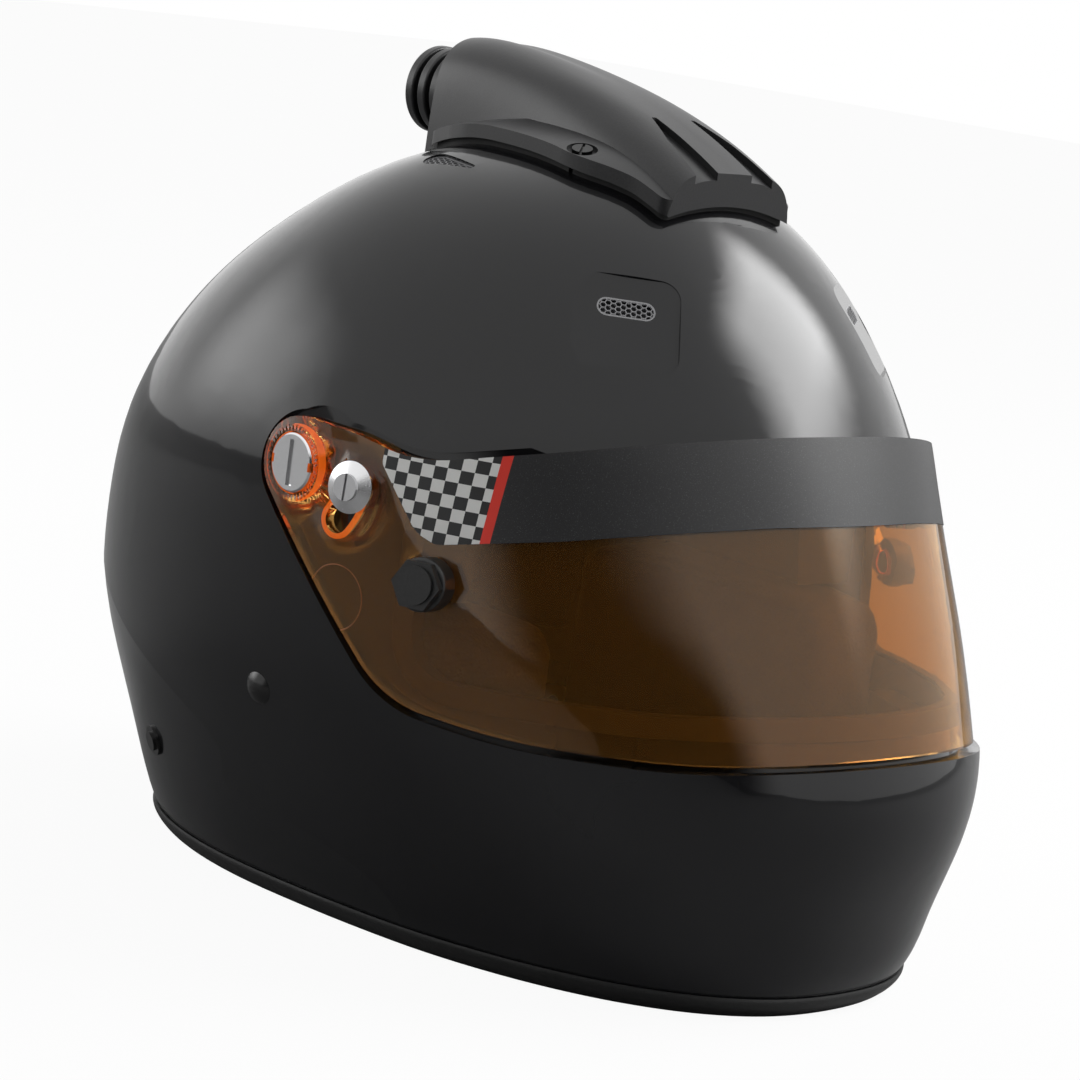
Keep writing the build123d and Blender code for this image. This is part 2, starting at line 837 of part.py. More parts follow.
with BuildPart() as lock_washers:
    with Locations(lock_plane.offset(lock_washer_lift)):
        Cone(
            lock_washer_radius,
            lock_head_radius,
            lock_washer_height,
            align=(Align.CENTER, Align.CENTER, Align.MIN),
        )
    add(disc(lock_plane, lock_shank_radius, 0, overrun), mode=Mode.SUBTRACT)
    mirror(about=Plane.YZ)

lock_washers.part.label = "lock_washers"
export_step(lock_washers.part, "parts/lock_washers.step")

with BuildPart() as lock_screws:
    add(disc(lock_plane, lock_head_radius, lock_washer_top, lock_washer_top + lock_head_height))
    with Locations(lock_plane.offset(lock_washer_top + lock_head_height)):
        Box(lock_slot_width, 2 * lock_head_radius, lock_head_height, mode=Mode.SUBTRACT)
    add(disc(lock_plane, lock_shank_radius, lock_wall, lock_washer_top))
    mirror(about=Plane.YZ)

lock_screws.part.label = "lock_screws"
export_step(lock_screws.part, "parts/lock_screws.step")

# Tear-off posts: round base, hexagonal cap with a round button, screw from inside the shield
with BuildPart() as tear_off_posts:
    add(disc(post_plane, post_radius, 0, post_length))
    fillet(edges().filter_by(GeomType.CIRCLE).sort_by(Axis.X)[-1], radius=post_fillet)
    add(disc(post_plane, post_screw_radius, 0, post_screw_bite), mode=Mode.SUBTRACT)
    mirror(about=Plane.YZ)

tear_off_posts.part.label = "tear_off_posts"
export_step(tear_off_posts.part, "parts/tear_off_posts.step")

with BuildPart() as tear_off_post_caps:
    with BuildSketch(post_plane.offset(post_length)):
        RegularPolygon(cap_flat_radius, 6, major_radius=False)
    extrude(amount=cap_flange_height)
    cap_top = post_length + cap_flange_height
    add(disc(post_plane, cap_button_radius, cap_top, cap_top + cap_button_height))
    mirror(about=Plane.YZ)

tear_off_post_caps.part.label = "tear_off_post_caps"
export_step(tear_off_post_caps.part, "parts/tear_off_post_caps.step")

with BuildPart() as tear_off_post_screws:
    head_seat = post_screw_sink - shield_thickness
    add(disc(post_plane, post_screw_head_radius, head_seat - post_screw_head_height, head_seat))
    add(disc(post_plane, post_screw_radius, head_seat, post_screw_bite))
    mirror(about=Plane.YZ)

tear_off_post_screws.part.label = "tear_off_post_screws"
export_step(tear_off_post_screws.part, "parts/tear_off_post_screws.step")

# Chin strap rivets: domed head, shank, spacer and inner washer
hanger_outer_x = hanger_x + hanger_thickness / 2
hanger_inner_x = hanger_x - hanger_thickness / 2
rivet_end_x = hanger_inner_x - hanger_gap - rivet_washer_height
rivet_sphere_radius = (rivet_dome_radius**2 + rivet_dome_height**2) / (2 * rivet_dome_height)

with BuildPart() as rivet_head:
    with Locations(rivet_plane.offset(rivet_dome_height - rivet_sphere_radius)):
        Sphere(rivet_sphere_radius)
    split(bisect_by=rivet_plane, keep=Keep.TOP)

with BuildPart() as strap_rivets:
    spacer_plane = side_plane(hanger_outer_x + hanger_gap, rivet_y, rivet_z)
    add(disc(spacer_plane, rivet_spacer_radius, 0, 2 * overrun))
    add(inner_form, mode=Mode.INTERSECT)
    add(rivet_head.part)
    rivet_plane_x = side_plane(rivet_end_x, rivet_y, rivet_z)
    add(disc(rivet_plane_x, rivet_shank_radius, 0, rivet_plane.origin.X - rivet_end_x))
    add(disc(rivet_plane_x, rivet_washer_radius, 0, rivet_washer_height))
    mirror(about=Plane.YZ)

strap_rivets.part.label = "strap_rivets"
export_step(strap_rivets.part, "parts/strap_rivets.step")

# Strap hanger plates, which turn on the rivets
hanger_bar_z = rivet_z - hanger_drop
with BuildPart() as strap_hanger_plates:
    with BuildSketch(side_plane(hanger_inner_x, rivet_y, rivet_z)):
        Circle(hanger_top_radius)
        with Locations((0, hanger_corner - hanger_drop)):
            with GridLocations(2 * (hanger_half_width - hanger_corner), 0, 2, 1):
                Circle(hanger_corner)
        make_hull()
        Circle(rivet_shank_radius + pin_gap, mode=Mode.SUBTRACT)
        with Locations((0, hanger_bar_height + hanger_slot_height / 2 - hanger_drop)):
            Rectangle(webbing_width + 2 * webbing_gap, hanger_slot_height, mode=Mode.SUBTRACT)
    extrude(amount=hanger_thickness)
    mirror(about=Plane.YZ)

strap_hanger_plates.part.label = "strap_hanger_plates"
export_step(strap_hanger_plates.part, "parts/strap_hanger_plates.step")

# Chin strap webbing, drawn in the front view and carried across its width
strap_plane = Plane(origin=(0, rivet_y, 0), x_dir=(1, 0, 0), z_dir=(0, -1, 0))


def webbing_ring(x, z, half_across, half_up):
    """A flat loop of webbing round a bar, as an outline in the front view."""
    with Locations((x, z)):
        RectangleRounded(
            2 * (half_across + webbing_thickness),
            2 * (half_up + webbing_thickness),
            half_across + webbing_thickness - webbing_gap / 2,
        )
        RectangleRounded(
            2 * half_across, 2 * half_up, half_across - webbing_gap / 2, mode=Mode.SUBTRACT
        )


def webbing_run(points):
    """A run of webbing along a line of points, as an outline in the front view."""
    with BuildLine() as run:
        FilletPolyline(points, radius=webbing_bend)
        offset(amount=webbing_thickness / 2, side=Side.BOTH)
    make_face(run.edges())


plate_loop_across = hanger_thickness / 2 + webbing_gap
plate_loop_up = hanger_bar_height / 2 + webbing_gap
plate_loop_z = hanger_bar_z + hanger_bar_height / 2
leg_top_z = plate_loop_z - plate_loop_up - webbing_thickness / 2

with BuildPart() as chin_strap_long:
    with BuildSketch(strap_plane):
        webbing_ring(-hanger_x, plate_loop_z, plate_loop_across, plate_loop_up)
        webbing_run(
            [
                (-hanger_x, leg_top_z),
                (-leg_foot_x, long_strap_z),
                (ring_x + ring_pitch + strap_tail, long_strap_z),
            ]
        )
    extrude(amount=webbing_width / 2, both=True)

chin_strap_long.part.label = "chin_strap_long"
export_step(chin_strap_long.part, "parts/chin_strap_long.step")

ring_loop_across = ring_pitch / 2 + ring_wire_radius + webbing_gap / 2
ring_loop_up = ring_wire_radius + webbing_gap / 2
with BuildPart() as chin_strap_short:
    with BuildSketch(strap_plane):
        webbing_ring(hanger_x, plate_loop_z, plate_loop_across, plate_loop_up)
        webbing_run(
            [
                (hanger_x, leg_top_z),
                (leg_foot_x, ring_bar_z),
                (ring_x + ring_pitch + ring_wire_radius + webbing_thickness, ring_bar_z),
            ]
        )
        with Locations((ring_x + ring_pitch / 2, ring_bar_z)):
            RectangleRounded(
                2 * (ring_loop_across + webbing_thickness),
                2 * (ring_loop_up + webbing_thickness),
                ring_loop_up,
            )
            RectangleRounded(
                2 * ring_loop_across, 2 * ring_loop_up, ring_wire_radius, mode=Mode.SUBTRACT
            )
    extrude(amount=webbing_width / 2, both=True)

chin_strap_short.part.label = "chin_strap_short"
export_step(chin_strap_short.part, "parts/chin_strap_short.step")

# Two D-rings that the long strap is threaded through
with BuildPart() as d_rings:
    for ring_step in (0, 1):
        ring_plane = side_plane(ring_x + ring_step * ring_pitch, rivet_y, ring_bar_z)
        with BuildLine(ring_plane) as ring_path:
            FilletPolyline(
                (-ring_half_width, 0),
                (ring_half_width, 0),
                (ring_half_width, -ring_drop),
                (-ring_half_width, -ring_drop),
                radius=ring_corner,
                close=True,
            )
        with BuildSketch(Plane(origin=ring_path.line @ 0, z_dir=ring_path.line % 0)):
            Circle(ring_wire_radius)
        sweep(path=ring_path.line)

d_rings.part.label = "d_rings"
export_step(d_rings.part, "parts/d_rings.step")

# Head restraint anchors: a flanged plug outside, a threaded terminal inside the shell
with BuildPart() as anchor_plugs:
    add(disc(anchor_plane, anchor_flange_radius, 0, anchor_flange_height))
    button_top = anchor_flange_height + anchor_button_height
    add(disc(anchor_plane, anchor_button_radius, 0, button_top))
    add(disc(anchor_plane, anchor_thread_radius, -shell_wall - anchor_nut_height, 0))
    mirror(about=Plane.YZ)

anchor_plugs.part.label = "anchor_plugs"
export_step(anchor_plugs.part, "parts/anchor_plugs.step")

with BuildPart() as anchor_terminals:
    add(disc(anchor_plane, anchor_nut_radius, -shell_wall - anchor_nut_height, 0))
    add(inner_form, mode=Mode.INTERSECT)
    add(disc(anchor_plane, anchor_thread_radius, -overrun, 0), mode=Mode.SUBTRACT)
    mirror(about=Plane.YZ)

anchor_terminals.part.label = "anchor_terminals"
export_step(anchor_terminals.part, "parts/anchor_terminals.step")

# Vent meshes
with BuildPart() as forehead_vent_meshes:
    add(mesh_plate(slot_outline, forehead_floor, -mesh_thickness))
    mirror(about=Plane.YZ)

forehead_vent_meshes.part.label = "forehead_vent_meshes"
export_step(forehead_vent_meshes.part, "parts/forehead_vent_meshes.step")

with BuildPart() as crown_vent_meshes:
    add(mesh_plate(teardrop_outline, crown_plane, -crown_mesh_depth - mesh_thickness))
    mirror(about=Plane.YZ)

crown_vent_meshes.part.label = "crown_vent_meshes"
export_step(crown_vent_meshes.part, "parts/crown_vent_meshes.step")


# Top air inlet
def dome_form(outset):
    """The dome of the shell, grown by an amount."""
    with BuildPart() as form:
        helmet_loft(shell_section_shares, -outset)
    return form.part


def scoop_form(inset):
    """The raised body of the air inlet, drawn in by inset."""
    floor_z = scoop_floor_share * scoop_height
    sections = []
    for back, half_share, height_share, power in scoop_section_shares:
        y = flange_front_y + back * flange_length
        half = half_share * flange_half_width - inset
        rise = height_share * scoop_height - floor_z - inset
        points = []
        for step in range(outline_steps):
            turn = math.radians(90 + 360 * step / outline_steps)
            reach = (abs(math.cos(turn)) / half) ** power + (abs(math.sin(turn)) / rise) ** power
            radius = reach ** (-1 / power)
            points.append((radius * math.cos(turn), radius * math.sin(turn)))
        section_plane = Plane(origin=(0, y, floor_z), x_dir=(1, 0, 0), z_dir=(0, -1, 0))
        sections.append(spline_face(points, section_plane))
    with BuildPart() as form:
        loft(sections)
    return form.part


flange_length = flange_rear_y - flange_front_y
flange_plan = [
    (side * across * flange_half_width, flange_front_y + back * flange_length, radius)
    for side, rows in ((-1, flange_plan_shares), (1, flange_plan_shares[::-1]))
    for across, back, radius in rows
]
flange_prism = plan_prism(
    [(x, y) for x, y, _ in flange_plan], [radius * flange_half_width for _, _, radius in flange_plan]
)
channel_prism = plan_prism(
    [
        (across * flange_half_width, flange_front_y + back * flange_length)
        for across, back in channel_plan_shares
    ],
    channel_radius,
)
gasket_dome = dome_form(scoop_gasket_height)
rear_face_y = flange_front_y + scoop_section_shares[0][0] * flange_length
flange_top = scoop_gasket_height + flange_thickness

with BuildPart() as scoop_channel:
    add(channel_prism)
    add(scoop_form(channel_depth), mode=Mode.SUBTRACT)
    mirror(about=Plane.YZ)

with BuildPart() as scoop_hollow:
    hollow_front_y = flange_front_y + scoop_hollow_front_share * flange_length
    add(block(-reach_x, reach_x, hollow_front_y, rear_face_y - scoop_wall, 0, scoop_height))
    add(scoop_form(scoop_wall), mode=Mode.INTERSECT)

with BuildPart() as screw_pockets:
    pocket_plane = scoop_plane.offset(flange_top - scoop_pocket_depth)
    add(disc(pocket_plane, scoop_pocket_radius, 0, scoop_pocket_depth))
    add(disc(pocket_plane, scoop_recess_radius, scoop_pocket_depth, overrun))
    add(disc(scoop_plane, scoop_shank_radius, -overrun, overrun))
    mirror(about=Plane.YZ)

with BuildPart() as air_scoop:
    add(flange_prism)
    add(dome_form(flange_top), mode=Mode.INTERSECT)
    add(scoop_form(0))
    add(gasket_dome, mode=Mode.SUBTRACT)
    add(scoop_channel.part, mode=Mode.SUBTRACT)
    add(scoop_hollow.part, mode=Mode.SUBTRACT)
    add(screw_pockets.part, mode=Mode.SUBTRACT)
    with Locations(Plane(origin=(0, rear_face_y, spigot_z), z_dir=(0, 1, 0))):
        Cylinder(spigot_radius - spigot_groove_depth, 2 * overrun, mode=Mode.SUBTRACT)

air_scoop.part.label = "air_scoop"
export_step(air_scoop.part, "parts/air_scoop.step")

# Foam strip under the air inlet
with BuildPart() as scoop_gasket:
    with BuildSketch(Plane.XY):
        with BuildLine() as gasket_edge:
            FilletPolyline(
                [(x, y) for x, y, _ in flange_plan],
                radius=[radius * flange_half_width for _, _, radius in flange_plan],
                close=True,
            )
        make_face(gasket_edge.edges())
        offset(amount=-scoop_gasket_inset)
    extrude(amount=scoop_height)
    add(gasket_dome, mode=Mode.INTERSECT)
    add(dome.part, mode=Mode.SUBTRACT)
    add(scoop_hollow.part, mode=Mode.SUBTRACT)
    for side in (-1, 1):
        with Locations((side * scoop_plane.origin.X, scoop_plane.origin.Y, scoop_plane.origin.Z)):
            Cylinder(scoop_pocket_radius, overrun, mode=Mode.SUBTRACT)

scoop_gasket.part.label = "scoop_gasket"
export_step(scoop_gasket.part, "parts/scoop_gasket.step")

# Screws of the air inlet and the rubber nuts that they expand in the shell
with BuildPart() as scoop_screws:
    seat = flange_top - scoop_pocket_depth
    add(disc(scoop_plane, scoop_screw_radius, seat, seat + scoop_screw_height))
    with Locations(scoop_plane.offset(seat + scoop_screw_height)):
        Box(lock_slot_width, 2 * scoop_screw_radius, scoop_screw_height, mode=Mode.SUBTRACT)
    add(disc(scoop_plane, scoop_shank_radius, -well_nut_length, seat))
    mirror(about=Plane.YZ)

scoop_screws.part.label = "scoop_screws"
export_step(scoop_screws.part, "parts/scoop_screws.step")

with BuildPart() as scoop_well_nuts:
    add(disc(scoop_plane, well_nut_flange_radius, -shell_wall - well_nut_flange_height, 0))
    add(inner_form, mode=Mode.INTERSECT)
    add(disc(scoop_plane, well_nut_radius, -well_nut_length, 0))
    add(disc(scoop_plane, scoop_shank_radius, -overrun, overrun), mode=Mode.SUBTRACT)
    mirror(about=Plane.YZ)

scoop_well_nuts.part.label = "scoop_well_nuts"
export_step(scoop_well_nuts.part, "parts/scoop_well_nuts.step")

# Hose spigot with rounded rings
spigot_plane = Plane(origin=(0, rear_face_y, spigot_z), z_dir=(0, 1, 0))
spigot_length = spigot_rings * spigot_pitch - spigot_groove_width


def spigot_ring(start, end):
    """One ring of the spigot, with both of its edges rounded."""
    with BuildPart() as ring:
        add(disc(spigot_plane, spigot_radius, start, end))
        fillet(ring.edges().filter_by(GeomType.CIRCLE), radius=spigot_ring_fillet)
    return ring.part


with BuildPart() as hose_spigot:
    core_radius = spigot_radius - spigot_groove_depth
    add(disc(spigot_plane, core_radius, -spigot_seat, spigot_length))
    for ring in range(spigot_rings):
        ring_start = ring * spigot_pitch
        ring_end = ring_start + spigot_pitch - spigot_groove_width
        add(spigot_ring(ring_start, ring_end))
    add(disc(spigot_plane, spigot_bore_radius, -overrun, spigot_length), mode=Mode.SUBTRACT)

hose_spigot.part.label = "hose_spigot"
export_step(hose_spigot.part, "parts/hose_spigot.step")

# Room that every lining piece leaves for the wall round the eyeport
lining_inset = shell_wall + soft_gap
with BuildPart() as frame_room:
    add(side_prism(shield_edge_shares, pocket_gap + eyeport_frame + soft_gap, ear=True))
    add(
        shield_form(shield_thickness + pocket_clearance + shell_wall + soft_gap),
        mode=Mode.SUBTRACT,
    )

with BuildPart() as lining_room:
    add(lining_form(lining_inset))
    add(frame_room.part, mode=Mode.SUBTRACT)

# Energy-absorbing foam shell round the head
with BuildPart() as liner_cuts:
    add(
        disc(
            side_plane(wall_x, pivot_y, pivot_z),
            base_flange_radius + 2 * soft_gap,
            -base_flange_height - 2 * soft_gap,
            overrun,
        )
    )
    lock_room = lock_wall - base_flange_height - 2 * soft_gap
    add(disc(lock_plane, lock_flange_radius + 2 * soft_gap, lock_room, 0))
    add(disc(scoop_plane, well_nut_flange_radius + soft_gap, -well_nut_length - soft_gap, 0))
    mirror(about=Plane.YZ)
    with Locations((0, 0, shell_height)):
        with GridLocations(0, inlet_hole_pitch, 1, 3):
            Cylinder(liner_duct_radius, 2 * (liner_depth + overrun))

with BuildPart() as impact_liner:
    add(side_block(liner_edge_shares))
    add(lining_room.part, mode=Mode.INTERSECT)
    add(lining_form(liner_depth), mode=Mode.SUBTRACT)
    add(liner_cuts.part, mode=Mode.SUBTRACT)

impact_liner.part.label = "impact_liner"
export_step(impact_liner.part, "parts/impact_liner.step")

# Foam behind the chin bar
with BuildPart() as chin_bar_liner:
    add(
        block(
            -reach_x,
            reach_x,
            -reach_y,
            chin_liner_rear_y,
            chin_liner_bottom_z,
            chin_liner_top_z,
        )
    )
    add(lining_room.part, mode=Mode.INTERSECT)
    add(lining_form(chin_liner_depth), mode=Mode.SUBTRACT)

chin_bar_liner.part.label = "chin_bar_liner"
export_step(chin_bar_liner.part, "parts/chin_bar_liner.step")

# Padding that touches the head
comfort_outer = lining_form(liner_depth + soft_gap)
comfort_inner = lining_form(liner_depth + soft_gap + comfort_depth)
with BuildPart() as comfort_liner:
    add(side_block(comfort_edge_shares))
    add(comfort_outer, mode=Mode.INTERSECT)
    add(comfort_inner, mode=Mode.SUBTRACT)

comfort_liner.part.label = "comfort_liner"
export_step(comfort_liner.part, "parts/comfort_liner.step")

with BuildPart() as brow_pad:
    add(block(-reach_x, reach_x, -reach_y, brow_rear_y, brow_bottom_z, brow_top_z))
    add(comfort_outer, mode=Mode.INTERSECT)
    add(comfort_inner, mode=Mode.SUBTRACT)

brow_pad.part.label = "brow_pad"
export_step(brow_pad.part, "parts/brow_pad.step")

with BuildPart() as cheek_pad_left:
    cheek_middle_y = (cheek_front_y + cheek_rear_y) / 2
    cheek_middle_z = (cheek_bottom_z + cheek_top_z) / 2
    with BuildSketch(side_plane(cheek_inner_x, cheek_middle_y, cheek_middle_z)):
        RectangleRounded(
            cheek_rear_y - cheek_front_y, cheek_top_z - cheek_bottom_z, cheek_radius
        )
    extrude(amount=reach_x)
    add(lining_room.part, mode=Mode.INTERSECT)
    add(
        block(
            cheek_split_x,
            2 * reach_x,
            rivet_y - strap_channel_half,
            rivet_y + strap_channel_half,
            0,
            rivet_z + hanger_top_radius + strap_channel_gap,
        ),
        mode=Mode.SUBTRACT,
    )

cheek_pad_left.part.label = "cheek_pad_left"
export_step(cheek_pad_left.part, "parts/cheek_pad_left.step")

with BuildPart() as cheek_pad_right:
    add(mirror(cheek_pad_left.part, about=Plane.YZ))

cheek_pad_right.part.label = "cheek_pad_right"
export_step(cheek_pad_right.part, "parts/cheek_pad_right.step")

with BuildPart() as neck_roll:
    add(block(-reach_x, reach_x, neck_front_y, reach_y, neck_bottom_z, neck_top_z))
    add(lining_room.part, mode=Mode.INTERSECT)
    add(lining_form(neck_depth), mode=Mode.SUBTRACT)

neck_roll.part.label = "neck_roll"
export_step(neck_roll.part, "parts/neck_roll.step")
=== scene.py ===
import json
import math

import bmesh
import bpy
from mathutils import Matrix, Vector
from mathutils.bvhtree import BVHTree

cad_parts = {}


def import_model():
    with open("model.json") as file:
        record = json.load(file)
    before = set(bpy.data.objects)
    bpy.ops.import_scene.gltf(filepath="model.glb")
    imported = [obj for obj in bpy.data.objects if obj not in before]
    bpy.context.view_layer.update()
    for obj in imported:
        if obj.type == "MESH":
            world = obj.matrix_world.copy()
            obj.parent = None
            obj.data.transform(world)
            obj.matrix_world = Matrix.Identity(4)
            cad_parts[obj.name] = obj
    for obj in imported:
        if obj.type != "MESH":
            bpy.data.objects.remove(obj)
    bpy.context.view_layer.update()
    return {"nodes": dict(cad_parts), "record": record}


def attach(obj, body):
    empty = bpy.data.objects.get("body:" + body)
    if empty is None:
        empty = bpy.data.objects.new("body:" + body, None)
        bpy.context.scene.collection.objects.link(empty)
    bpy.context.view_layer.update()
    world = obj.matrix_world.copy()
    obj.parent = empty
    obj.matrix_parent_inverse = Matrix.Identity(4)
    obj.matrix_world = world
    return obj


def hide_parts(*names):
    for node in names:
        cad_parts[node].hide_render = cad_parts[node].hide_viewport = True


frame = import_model()
nodes = frame["nodes"]

# Auto racing helmet. +Z is up, the face looks along -Y, +X is the wearer's left. Metres.

MM = 0.001


# Shader building blocks

def new_material(name):
    """An empty node material with its output node."""
    material = bpy.data.materials.new(name)
    material.use_nodes = True
    material.node_tree.nodes.clear()
    output = material.node_tree.nodes.new("ShaderNodeOutputMaterial")
    return material, material.node_tree, output


def principled(tree, output, color, roughness, metallic=0.0):
    """The material's surface shader."""
    shader = tree.nodes.new("ShaderNodeBsdfPrincipled")
    shader.inputs["Base Color"].default_value = (*color, 1.0)
    shader.inputs["Roughness"].default_value = roughness
    shader.inputs["Metallic"].default_value = metallic
    tree.links.new(shader.outputs["BSDF"], output.inputs["Surface"])
    return shader


def object_coordinates(tree):
    """The piece's own place, in metres."""
    return tree.nodes.new("ShaderNodeTexCoord").outputs["Object"]


def grain_group():
    """Fine moulded grain: a colour mask, a roughness and a normal that vary over the surface."""
    group = bpy.data.node_groups.new("moulded_grain", "ShaderNodeTree")
    face = group.interface
    for name, kind, value in (
        ("Vector", "NodeSocketVector", None),
        ("Scale", "NodeSocketFloat", 900.0),
        ("Roughness", "NodeSocketFloat", 0.5),
        ("Variation", "NodeSocketFloat", 0.06),
        ("Depth", "NodeSocketFloat", 0.05),
    ):
        socket = face.new_socket(name=name, in_out="INPUT", socket_type=kind)
        if value is not None:
            socket.default_value = value
    for name, kind in (
        ("Mask", "NodeSocketFloat"),
        ("Roughness", "NodeSocketFloat"),
        ("Normal", "NodeSocketVector"),
    ):
        face.new_socket(name=name, in_out="OUTPUT", socket_type=kind)
    entry = group.nodes.new("NodeGroupInput")
    leave = group.nodes.new("NodeGroupOutput")
    noise = group.nodes.new("ShaderNodeTexNoise")
    noise.inputs["Detail"].default_value = 4.0
    group.links.new(entry.outputs["Vector"], noise.inputs["Vector"])
    group.links.new(entry.outputs["Scale"], noise.inputs["Scale"])
    centred = group.nodes.new("ShaderNodeMath")
    centred.operation = "SUBTRACT"
    centred.inputs[1].default_value = 0.5
    group.links.new(noise.outputs["Fac"], centred.inputs[0])
    spread = group.nodes.new("ShaderNodeMath")
    spread.operation = "MULTIPLY_ADD"
    group.links.new(centred.outputs["Value"], spread.inputs[0])
    group.links.new(entry.outputs["Variation"], spread.inputs[1])
    group.links.new(entry.outputs["Roughness"], spread.inputs[2])
    bump = group.nodes.new("ShaderNodeBump")
    bump.inputs["Distance"].default_value = 0.4 * MM
    group.links.new(entry.outputs["Depth"], bump.inputs["Strength"])
    group.links.new(noise.outputs["Fac"], bump.inputs["Height"])
    group.links.new(noise.outputs["Fac"], leave.inputs["Mask"])
    group.links.new(spread.outputs["Value"], leave.inputs["Roughness"])
    group.links.new(bump.outputs["Normal"], leave.inputs["Normal"])
    return group


GRAIN = grain_group()


def add_grain(tree, shader, scale, roughness, variation, depth):
    """Places the moulded grain in a material and feeds its roughness and normal."""
    grain = tree.nodes.new("ShaderNodeGroup")
    grain.node_tree = GRAIN
    tree.links.new(object_coordinates(tree), grain.inputs["Vector"])
    grain.inputs["Scale"].default_value = scale
    grain.inputs["Roughness"].default_value = roughness
    grain.inputs["Variation"].default_value = variation
    grain.inputs["Depth"].default_value = depth
    tree.links.new(grain.outputs["Roughness"], shader.inputs["Roughness"])
    tree.links.new(grain.outputs["Normal"], shader.inputs["Normal"])
    return grain


def tint(tree, shader, mask, dark, light):
    """Varies a material's colour between two tones by a mask."""
    ramp = tree.nodes.new("ShaderNodeValToRGB")
    ramp.color_ramp.elements[0].color = (*dark, 1.0)
    ramp.color_ramp.elements[0].position = 0.3
    ramp.color_ramp.elements[1].color = (*light, 1.0)
    ramp.color_ramp.elements[1].position = 0.7
    tree.links.new(mask, ramp.inputs["Fac"])
    tree.links.new(ramp.outputs["Color"], shader.inputs["Base Color"])


def plastic(name, dark, light, roughness, scale=900.0, variation=0.08, depth=0.08):
    """A moulded black plastic or rubber with fine grain."""
    material, tree, output = new_material(name)
    shader = principled(tree, output, dark, roughness)
    grain = add_grain(tree, shader, scale, roughness, variation, depth)
    tint(tree, shader, grain.outputs["Mask"], dark, light)
    return material


def gloss_shell():
    """Black lacquer under a clear coat, with the faintest ripple."""
    roughness = 0.22
    material, tree, output = new_material("gloss_black_lacquer")
    shader = principled(tree, output, (0.010, 0.010, 0.011), roughness)
    shader.inputs["Specular IOR Level"].default_value = 0.08
    shader.inputs["Coat Weight"].default_value = 0.7
    shader.inputs["Coat Roughness"].default_value = 0.05
    grain = add_grain(tree, shader, 14.0, roughness, 0.05, 0.015)
    tint(tree, shader, grain.outputs["Mask"], (0.009, 0.009, 0.010), (0.012, 0.012, 0.013))
    return material


def amber_shield():
    """Amber polycarbonate: mostly clear, with a brown haze of its own."""
    material, tree, output = new_material("amber_polycarbonate")
    shader = principled(tree, output, (0.95, 0.50, 0.14), 0.02)
    shader.inputs["Transmission Weight"].default_value = 0.96
    shader.inputs["IOR"].default_value = 1.45
    noise = tree.nodes.new("ShaderNodeTexNoise")
    noise.inputs["Scale"].default_value = 9.0
    tree.links.new(object_coordinates(tree), noise.inputs["Vector"])
    tint(tree, shader, noise.outputs["Fac"], (0.94, 0.48, 0.12), (0.96, 0.53, 0.15))
    return material


def amber_edge_glow():
    """A cut edge of the shield, painted with a red glow (emission) for the light that runs inside
    it and comes out red.
    """
    material, tree, output = new_material("amber_edge_glow")
    shader = principled(tree, output, (0.80, 0.16, 0.012), 0.12)
    shader.inputs["Transmission Weight"].default_value = 0.5
    shader.inputs["IOR"].default_value = 1.45
    # Painted glow: the edge emits red light of its own, standing in for light carried inside the
    # shield.
    shader.inputs["Emission Color"].default_value = (1.0, 0.16, 0.012, 1.0)
    shader.inputs["Emission Strength"].default_value = 0.35
    noise = tree.nodes.new("ShaderNodeTexNoise")
    noise.inputs["Scale"].default_value = 60.0
    tree.links.new(object_coordinates(tree), noise.inputs["Vector"])
    tint(tree, shader, noise.outputs["Fac"], (0.62, 0.10, 0.008), (0.90, 0.22, 0.020))
    return material


